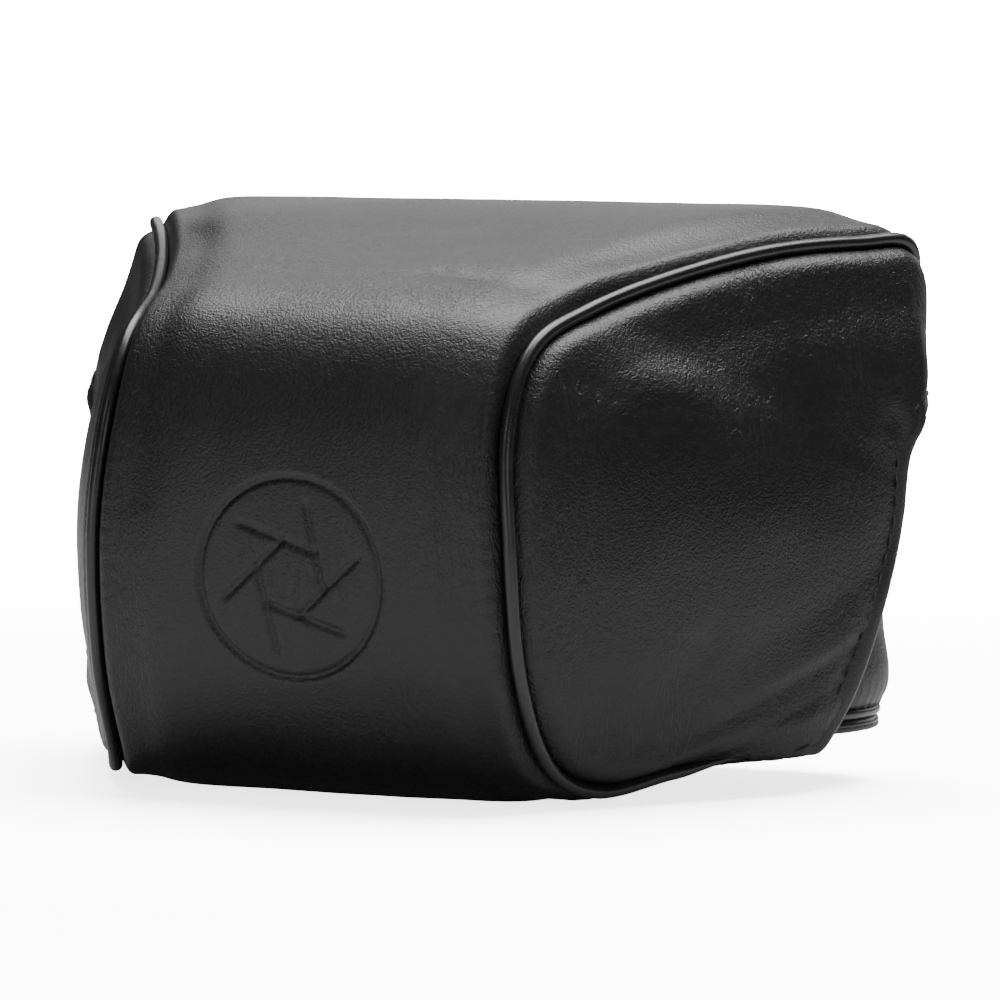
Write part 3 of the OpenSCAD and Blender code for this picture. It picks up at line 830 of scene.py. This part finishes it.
def outline(count, grow=0.0):
    """Points and outward directions evenly along the base's rounded outline, from the middle of its front."""
    pieces = []
    arcs = [(BASE_X - FRONT_R, BASE_FRONT + FRONT_R, FRONT_R, -90, 0),
            (BASE_X - REAR_R, BASE_REAR - REAR_R, REAR_R, 0, 90),
            (-(BASE_X - REAR_R), BASE_REAR - REAR_R, REAR_R, 90, 180),
            (-(BASE_X - FRONT_R), BASE_FRONT + FRONT_R, FRONT_R, 180, 270)]
    pieces.append([[0, BASE_FRONT - grow, 0, -1]])
    for cx, cy, r, start, end in arcs:
        a = np.radians(np.linspace(start, end, 60))
        c, s = np.cos(a), np.sin(a)
        pieces.append(np.stack([cx + (r + grow) * c, cy + (r + grow) * s, c, s], -1))
    pieces.append([[0, BASE_FRONT - grow, 0, -1]])
    p = np.concatenate(pieces)
    run = running_length(p[:, :2])
    at = np.linspace(0, run[-1], count + 1)[:-1]
    p = np.stack([np.interp(at, run, p[:, j]) for j in range(4)], -1)
    points = np.stack([p[:, 0], y_at(p[:, 1]), np.zeros(count)], -1)
    out = unit(np.stack([p[:, 2], p[:, 3], np.zeros(count)], -1))
    return points, out


WALL_Z = 12.3
LENS_Z = 26.0
LOW_WALL_Z = 46.0
LUG_Z = 50.0
BASE_TOP = 57.0
LENS_GAP = 68.0
LENS_GAP_DEPTH = 52
LUG_FROM = 66.0
LUG_TO = 74.5


def wall_top(points):
    """Height of the base's wall: cut out for the lens in front and for the strap lugs at the sides."""
    x, d = np.abs(points[:, 0]), points[:, 1] - y_at(0)
    front = (1 - smooth((d - LENS_GAP_DEPTH) / 2.0 + 0.5)) * (1 - smooth((x - LENS_GAP / 2) / 3.0 + 0.5))
    low_step, high_step = smooth((d - LUG_FROM) / 2.4 + 0.5), smooth((d - LUG_TO) / 2.4 + 0.5)
    top = LOW_WALL_Z + (LUG_Z - LOW_WALL_Z) * low_step + (BASE_TOP - LUG_Z) * high_step
    return top * (1 - front) + LENS_Z * front


OUTLINE_COUNT = int(620 / DETAIL)
OUTLINE_STEP = 0.62 * DETAIL
edge, edge_out = outline(OUTLINE_COUNT)
top = wall_top(edge)


def wall_grid(below, rise, lower, rows, detail):
    """Points of the base's wall from the height lower up to its top edge, which rise moves."""
    t = np.linspace(0, 1, rows)
    z = lower + (top[:, None] + rise - lower) * t[None, :]
    push = np.zeros(z.shape)
    if detail:
        foot = 1.3 * bell(z - 17.5, 5.5) - 1.1 * bell(z - WALL_Z, 1.8)
        p = edge[:, None] + np.stack([z * 0, z * 0, z], -1)
        push = foot * 0.8 + 0.22 * lattice_noise(p, 24, 71) + 0.06 * lattice_noise(p, 8, 72)
        away = np.clip(z - WALL_Z, 0, None)
        run = np.arange(len(edge)) * OUTLINE_STEP
        push += puckers(np.repeat(run[:, None], rows, 1), away, 9)
        push *= np.clip((top[:, None] - z) / 6, 0.1, 1)
    p = edge[:, None] + edge_out[:, None] * (push - below)[..., None]
    return p + np.stack([z * 0, z * 0, z], -1)


shape = slab(wall_grid(0.0, 0, WALL_Z, 46, True), wall_grid(LEATHER, 0, WALL_Z, 46, False), ring=True)
keep(make_object("base_wall_leather", *shape, base_leather), "base", "leather", "base_shell")
o, i = wall_grid(LEATHER + 0.05, -0.3, WALL_Z, 20, False), wall_grid(LEATHER + 0.62, -0.3, WALL_Z, 20, False)
i = i - edge_out[:, None] * (folds(i, 81) * 0.5)[..., None]
keep(make_object("base_wall_lining", *slab(o, i, ring=True), lining_cloth), "base", "lining", "base_lining")

# Binding folded over the wall's top edge: how far out and how far up, round its cross-section
ripple = 0.05 * lattice_noise(edge, 5, 91)
binding = []
for n, z in ((0.32, -2.6), (0.42, -2.3), (0.44, -1.0), (0.34, 0.0), (0.05, 0.5), (-0.6, 0.75), (-1.3, 0.8),
             (-1.9, 0.5), (-2.15, 0.0), (-2.2, -1.2), (-2.2, -2.5), (-1.0, -2.6)):
    binding.append(edge + edge_out * (n + ripple)[:, None] + np.stack([top * 0, top * 0, top + z], -1))
keep(make_object("base_top_binding_strip", *ring_solid(np.stack(binding, 1)), hem_leather), "base", "hem",
     "base_top_binding")
line = edge + edge_out * 0.5 + np.stack([top * 0, top * 0, top - 1.6], -1)
keep(make_object("base_binding_stitches", *stitches(line, edge_out), thread), "base", "thread")

# Two ridges at the foot: the piping, and the rolled edge of the floor leather further down
p, _ = outline(OUTLINE_COUNT, -1.2)
r = 0.92 * (1 + 0.03 * lattice_noise(p, 4, 93))
p[:, 2] = 11.55
keep(make_object("base_piping_cord", *sweep(p, r, 14, first=(0, 0, 1), closed=True), piping_leather), "base",
     "piping", "base_piping")

BUSH_R = 6.45
FLOOR_ROWS = 16


def pad(grow, low, high, round_r, rows, seed, amplitude):
    """Closed pad with a rolled rim and a round hole for the bush."""
    rim, out = outline(OUTLINE_COUNT // 2, grow)
    centre = np.array([0, y_at(BASE_MID), 0])
    hole = centre + unit(rim - centre) * BUSH_R
    loops = np.linspace(0, 1, rows)[1:]
    around = []
    for f in loops[::-1]:
        p = (rim - out * round_r) * (1 - f) + hole * f
        p[:, 2] = high + amplitude * lattice_noise(p, 7, seed) * (1 - f)
        around.append(p)
    for a in np.linspace(0, np.pi, 9):
        p = rim + out * (round_r * (np.sin(a) - 1))
        p[:, 2] = (low + high) / 2 + (high - low) / 2 * np.cos(a)
        around.append(p)
    for f in loops:
        p = (rim - out * round_r) * (1 - f) + hole * f
        p[:, 2] = low
        around.append(p)
    return ring_solid(np.stack(around, 1))


keep(make_object("base_floor_pan", *pad(-0.5, 8.62, 10.0, 0.75, FLOOR_ROWS, 95, 0.0), base_leather), "base",
     "leather", "base_floor_leather")
p, _ = outline(OUTLINE_COUNT, -1.5)
p[:, 2] = 9.75
keep(make_object("base_floor_rim", *sweep(p, 0.98, 12, first=(0, 0, 1), closed=True), piping_leather), "base",
     "piping")
keep(make_object("base_felt_pad", *pad(-2.5, 11.55, 12.28, 0.3, FLOOR_ROWS, 97, 0.05), felt_cloth), "base",
     "felt", "base_felt")

# Hinge straps: each one piece of leather from under the cover to under the base

def strap(path, half_width, thickness, tips, columns=22, seed=0):
    """Outer and inner grid of a strap along a path of (depth, height) points, with rolled edges.

    tips are the rounding radii of its two ends. With the grids come the middle line, its way out and the
    running length along it.
    """
    path = np.asarray(path, float)

    def along(q):
        return placed(np.concatenate([q[:, None] * 0, curve(path, q)], 1))

    u = length_steps(along, 0, len(path) - 1, 0.7)
    d = curve(path, u)
    line = np.stack([u * 0, y_at(d[:, 0]), d[:, 1]], -1)
    way = unit(np.gradient(line, axis=0))
    out = np.stack([u * 0, -way[:, 2], way[:, 1]], -1)
    run = running_length(line)
    width = np.full(len(u), half_width)
    for from_end, r in ((run, tips[0]), (run[-1] - run, tips[1])):
        short = np.clip(r - from_end, 0, r)
        width = np.minimum(width, half_width - r + np.sqrt(np.maximum(r * r - short * short, 0)) + 0.02)
    c = np.sin(np.linspace(-1, 1, columns + 1) * np.pi / 2)
    x = c[None, :] * width[:, None]
    edge_roll = thickness / 2 * (1 - (1 - np.clip((width[:, None] - np.abs(x)) / 0.6, 0, 1)) ** 2) ** 0.5
    mid = line[:, None] + np.stack([x, x * 0, x * 0], -1)
    wave = 0.05 * lattice_noise(mid, 6, 100 + seed)
    outer = mid + out[:, None] * (edge_roll + wave)[..., None]
    inner = mid + out[:, None] * (-edge_roll + wave)[..., None]
    return outer, inner, line, out, run


HINGE_X = 30.0
HINGE_PATH = [(43.8, 3.5), (47, 3.6), (50, 3.75), (52.2, 4.3), (53.6, 5.8), (55.2, 7.2), (58, 7.8),
              (64, 7.85), (72, 7.85)]
for side, x in (("left", -HINGE_X), ("right", HINGE_X)):
    o, i, line, out, run = strap(HINGE_PATH, 11.0, 1.25, (3.0, 6.0), seed=int(x > 0))
    shape = slab(o, i)
    shape = (shape[0] + np.array([x, 0, 0]), shape[1])
    piece = make_object("hinge_strap_" + side, *shape, hinge_leather)
    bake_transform(piece)
    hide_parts(*(["hinge_tab_" + side] + (["hinge_leaf"] if side == "left" else [])))
    seams = [np.array([x + dx, 0, 0]) + line for dx in (-9.6, 9.6)]
    for body, pick in (("cover", (run > 1.6) & (run < 6.6)), ("base", (run > 15.5) & (run < 27))):
        threads = joined([stitches(seam[pick], -out[pick], sink=-0.55) for seam in seams])
        keep(make_object("hinge_stitches_%s_%s" % (body, side), *threads, thread), body, "thread")

# Snap caps under the hinge straps, domed with a rolled rim
CAP_ROWS = [(0.02, 1.62), (1.8, 1.6), (3.4, 1.48), (4.3, 1.25), (4.55, 1.12), (4.8, 1.2), (5.4, 1.18),
            (5.85, 0.9), (6.0, 0.5), (5.9, 0.1), (5.4, 0.0), (0.02, 0.0)]
CAP = [(r, h * 0.95) for r, h in CAP_ROWS]
caps = [lathe(CAP, (x, y_at(64.0), 7.12), (0, 0, -1)) for x in (-HINGE_X, HINGE_X)]
keep(make_object("hinge_snap_domes", *joined(caps), lacquer), "base", "black_metal", "hinge_snap_caps")

# Closing tongue: one strap from its root on the base's rear wall to its tip over the flap
TONGUE_PATH = [(86.35, 32.8), (86.35, 36), (86.35, 41), (86.5, 44.2), (87.1, 46.6), (87.9, 49.4), (88.2, 53),
               (88.2, 62), (88.2, 70), (88.2, 76.4)]
o, i, _, _, _ = strap(TONGUE_PATH, 12.0, 1.55, (4.0, 11.9), columns=40, seed=3)
piece = make_object("closing_tongue_strap", *slab(o, i), hinge_leather)
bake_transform(piece)
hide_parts("closing_tongue", "tongue_root")


def on_back(x, depth, z):
    """Points at one depth behind the case."""
    x, z = np.broadcast_arrays(x, z)
    return np.stack([x, np.full(x.shape, y_at(depth)), z], -1)


BACKWARD = np.array([0, 1.0, 0])
SEAM_X, TIP_Z, FOLD_Z, ROOT_TOP_Z, ROOT_SIDE_Z, ROOT_Z = 10.4, 64.6, 51, 43.5, 34.6, 34.4
TONGUE_FACE, ROOT_FACE = 88.97, 87.12
arc = np.radians(np.linspace(0, 180, 60))
around = np.concatenate([
    on_back(SEAM_X, TONGUE_FACE, np.linspace(FOLD_Z, TIP_Z, 24, endpoint=False)),
    on_back(SEAM_X * np.cos(arc), TONGUE_FACE, TIP_Z + SEAM_X * np.sin(arc)),
    on_back(-SEAM_X, TONGUE_FACE, np.linspace(TIP_Z, FOLD_Z, 25)[1:])])
keep(make_object("tongue_stitches", *stitches(around, BACKWARD), thread), "tongue", "thread")
root = np.concatenate([
    on_back(SEAM_X, ROOT_FACE, np.linspace(ROOT_TOP_Z, ROOT_SIDE_Z, 12)),
    on_back(np.linspace(SEAM_X, -SEAM_X, 30), ROOT_FACE, ROOT_Z),
    on_back(-SEAM_X, ROOT_FACE, np.linspace(ROOT_SIDE_Z, ROOT_TOP_Z, 12))])
keep(make_object("tongue_root_stitches", *stitches(root, BACKWARD), thread), "base", "thread")
SNAP_Z = 67.0
keep(make_object("tongue_snap_dome", *lathe(CAP, (0, y_at(89.02), SNAP_Z), (0, 1, 0)), lacquer), "tongue",
     "black_metal", "tongue_snap_cap")
RIVET = [(0.02, 0.95), (0.9, 0.92), (1.7, 0.72), (2.3, 0.4), (2.6, 0.1), (2.5, 0.0), (1.25, -0.02),
         (1.25, -1.6), (0.02, -1.62)]
rivets = [lathe(RIVET, (x, y_at(87.15), 39.6), (0, 1, 0), 48) for x in (-7, 7)]
keep(make_object("tongue_rivet_heads", *joined(rivets), lacquer), "base", "black_metal", "tongue_rivets")

# Tripod screw: knurled knob with a socket, and a threaded shank
THREAD_R = 3.175
KNURL_R = 9.75
KNOB = [(0.02, 4.4), (THREAD_R, 4.4), (THREAD_R, 0.4), (THREAD_R + 0.35, 0.0), (6.6, 0.0), (7.2, 0.0),
        (9.1, 0.0), (9.65, 0.5), (KNURL_R, 0.9), (KNURL_R, 2.8), (KNURL_R, 4.6), (9.7, 5.0), (9.2, 5.5),
        (8.8, 5.7), (8.7, 6.9), (8.5, 7.0), (3.4, 7.0), (0.02, 7.0)]
UPWARD = (0, 0, 1)


def knurl(t, k):
    return 0.25 * np.abs(np.sin(t * 36)) if KNOB[k][0] == KNURL_R else t * 0


knob_at = (0, y_at(BASE_MID), 0)
keep(make_object("tripod_knob", *lathe(KNOB, knob_at, UPWARD, 288, knurl), knob_metal), "tripod_screw",
     "knob", "screw_knob")
PITCH = 1.27
SHANK_Z, SHANK_TOP, GROOVE_TOP = 7.0, 17.1, 12.4
shank_z = np.linspace(SHANK_Z, SHANK_TOP, 220)
profile = [(THREAD_R - 0.3, h) for h in shank_z]


def thread_flute(t, k):
    """Threads above the groove that the clip runs in, tapering off at the tip."""
    z = shank_z[k]
    phase = (z / PITCH - t / (2 * np.pi)) % 1
    crest = 0.3 - np.abs(phase - 0.5) * 1.2
    clip_groove = 1 / (1 + np.exp((z - GROOVE_TOP) / 0.05))
    crest = crest * (1 - clip_groove) - 0.35 * clip_groove
    left = (SHANK_TOP - z) / 0.6
    return crest * np.clip(left, 0, 1) - 0.5 * np.clip(1 - left, 0, 1)


keep(make_object("tripod_thread", *lathe(profile, knob_at, UPWARD, 64, thread_flute), steel), "tripod_screw",
     "steel", "screw_shank")

# CAD nodes that stay, with better materials
for node, material in (("nose_stiffener", board), ("base_floor_board", board), ("screw_bush", brass),
                       ("screw_clip", steel), ("flap_stud", steel), ("flap_stud_post", steel),
                       ("hinge_snap_studs", steel), ("tongue_snap_socket", steel)):
    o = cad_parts[node]
    o.data.materials.clear()
    o.data.materials.append(material)

# Floor, light and camera

def area_light(name, at, toward, size, size_y, power):
    light = bpy.data.lights.new(name, "AREA")
    light.shape = "RECTANGLE"
    light.size, light.size_y, light.energy = size, size_y, power
    o = bpy.data.objects.new(name, light)
    o.location = at
    o.visible_camera = False
    o.rotation_mode = "QUATERNION"
    o.rotation_quaternion = (Vector(toward) - Vector(at)).to_track_quat("-Z", "Y")
    bpy.context.scene.collection.objects.link(o)


FLOOR = 20.0
floor_mesh = bpy.data.meshes.new("floor")
floor_mesh.from_pydata([(-FLOOR, -FLOOR, 0), (FLOOR, -FLOOR, 0), (FLOOR, FLOOR, 0), (-FLOOR, FLOOR, 0)], [],
                       [(0, 1, 2, 3)])
floor = bpy.data.objects.new("floor", floor_mesh)
floor.location.z = min(0.0, cad_low.z) - 0.0001
bpy.context.scene.collection.objects.link(floor)
# The floor lights the case from below as a grey card would, and looks white and brighter with distance
floor_paint, tree, s = new_material("floor_paint")
s.inputs["Base Color"].default_value = (0.72, 0.72, 0.72, 1)
s.inputs["Roughness"].default_value = 0.6
s.inputs["Specular IOR Level"].default_value = 0.2
place = add(tree, "ShaderNodeTexCoord")
radius = add(tree, "ShaderNodeVectorMath", {0: place.outputs["Object"]}, operation="LENGTH").outputs["Value"]
far = add(tree, "ShaderNodeMapRange", {"Value": radius, "From Min": 0.15, "From Max": 1.0, "To Min": 3.0,
                                       "To Max": 26.0}, interpolation_type="SMOOTHSTEP").outputs[0]
glow = add(tree, "ShaderNodeEmission", {"Color": (1, 1, 1, 1), "Strength": far})
bright = add(tree, "ShaderNodeBsdfDiffuse", {"Color": (5.0, 5.0, 5.0, 1)})
lit = add(tree, "ShaderNodeAddShader", {0: bright.outputs[0], 1: glow.outputs[0]})
path = add(tree, "ShaderNodeLightPath")
paint = add(tree, "ShaderNodeMixShader", {0: path.outputs["Is Camera Ray"]})
tree.links.new(s.outputs[0], paint.inputs[1])
tree.links.new(lit.outputs[0], paint.inputs[2])
tree.links.new(paint.outputs[0], tree.nodes["Material Output"].inputs["Surface"])
floor_mesh.materials.append(floor_paint)

# White where the camera looks past everything, and nearly dark as a light
world = bpy.data.worlds.new("studio")
bpy.context.scene.world = world
world.use_nodes = True
tree = world.node_tree
background = tree.nodes["Background"]
path = add(tree, "ShaderNodeLightPath")
seen = add(tree, "ShaderNodeBackground", {"Color": (1, 1, 1, 1), "Strength": 30.0})
background.inputs["Color"].default_value = (1, 1, 1, 1)
background.inputs["Strength"].default_value = 0.04
mixed = add(tree, "ShaderNodeMixShader", {0: path.outputs["Is Camera Ray"]})
tree.links.new(background.outputs[0], mixed.inputs[1])
tree.links.new(seen.outputs[0], mixed.inputs[2])
tree.links.new(mixed.outputs[0], tree.nodes["World Output"].inputs["Surface"])

# Name, place, aim, width, height and power of each light
area_light("overhead", (0.0, 0.30, 1.10), (0, 0.05, 0.05), 1.3, 0.8, 29)
area_light("backdrop", (-0.1, 1.9, 0.70), (0, 0.0, 0.08), 2.6, 0.9, 10)
area_light("right_box", (0.90, -0.85, 0.35), (0.05, 0, 0.04), 0.25, 0.35, 1.3)
area_light("front_left", (-0.30, -1.3, 0.85), (0, 0, 0.04), 0.3, 0.3, 1.3)
area_light("front_low", (-0.4, -1.5, 0.12), (0, 0, 0.03), 1.0, 0.2, 2.0)

AZIMUTH, ELEVATION, DISTANCE = math.radians(26.7), math.radians(4.5), 1.3
back = Vector((math.sin(AZIMUTH) * math.cos(ELEVATION), -math.cos(AZIMUTH) * math.cos(ELEVATION),
               math.sin(ELEVATION)))
camera = bpy.data.objects.new("camera", bpy.data.cameras.new("camera"))
camera.data.sensor_width = 36
camera.data.lens = 290
VIEW_MIDDLE = Vector((0, 0.0272, 0.0424))
camera.location = VIEW_MIDDLE + back * DISTANCE
camera.rotation_mode = "QUATERNION"
camera.rotation_quaternion = (-back).to_track_quat("-Z", "Y")
bpy.context.scene.collection.objects.link(camera)
bpy.context.scene.camera = camera
